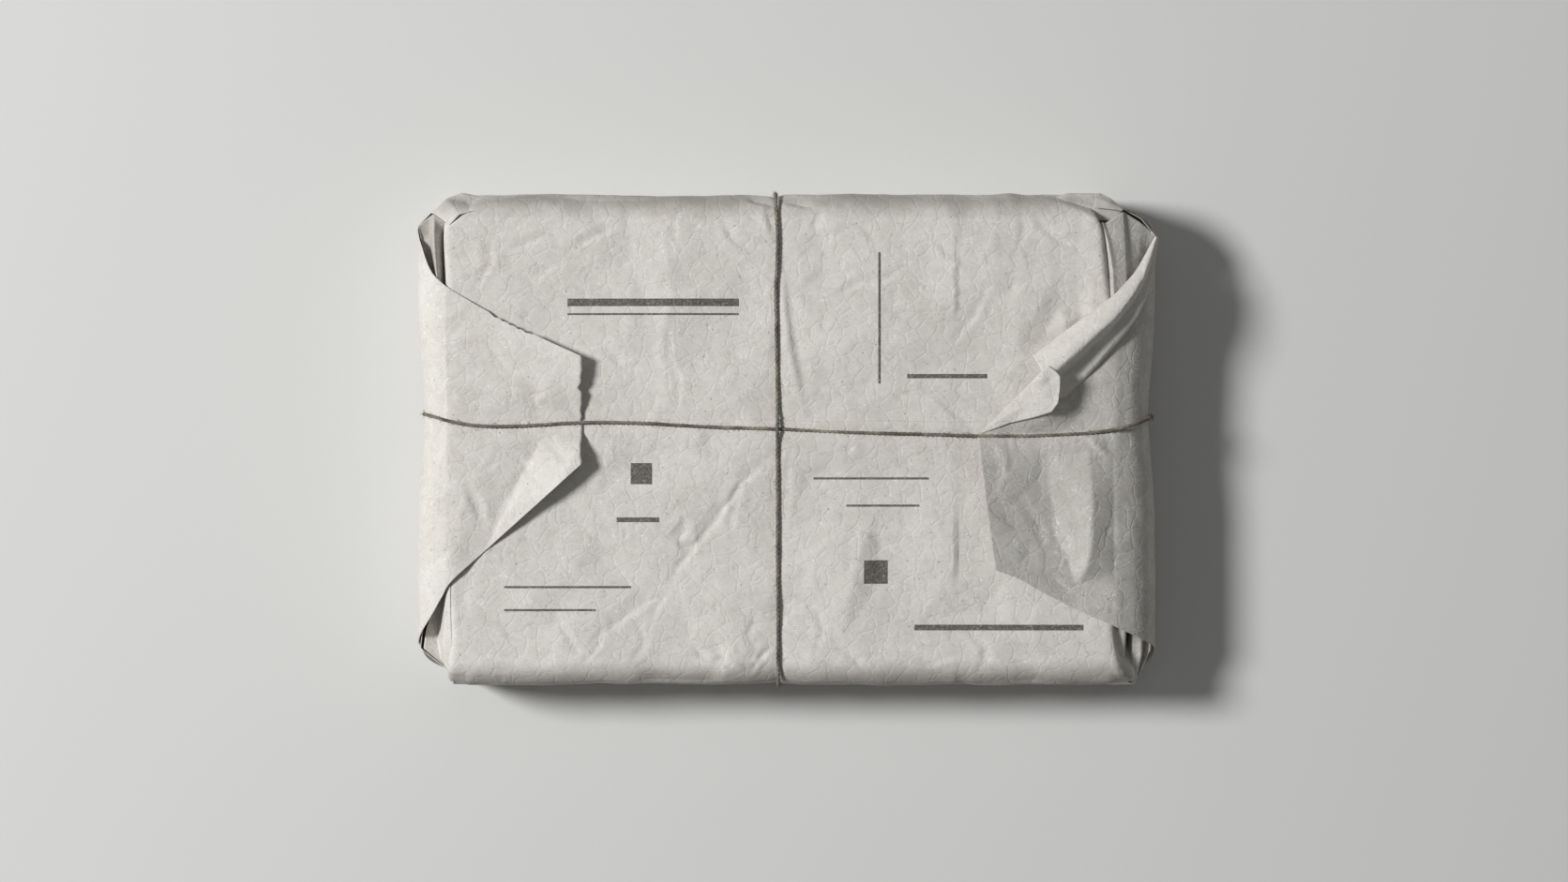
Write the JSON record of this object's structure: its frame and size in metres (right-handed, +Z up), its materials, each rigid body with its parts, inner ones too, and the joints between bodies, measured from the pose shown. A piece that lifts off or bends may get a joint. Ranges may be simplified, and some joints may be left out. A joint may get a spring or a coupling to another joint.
{
  "type": "paper wrapped parcel",
  "caption": "Flat oblong parcel in one sheet of heavy pale paper, with folded and tucked ends, tied with twine along and across.",
  "frame": {"origin": "under the middle of the parcel, on the surface that it rests on", "axes": "+X along the parcel towards the end with the rolled flap corner, +Y across it, +Z up"},
  "size_m": [0.318, 0.2126, 0.0629],
  "materials": {
    "paper": "matte",
    "twine": "matte"
  },
  "bodies": {
    "root": {"wrapped_parcel": "paper", "string": "twine"}
  },
  "joints": []
}
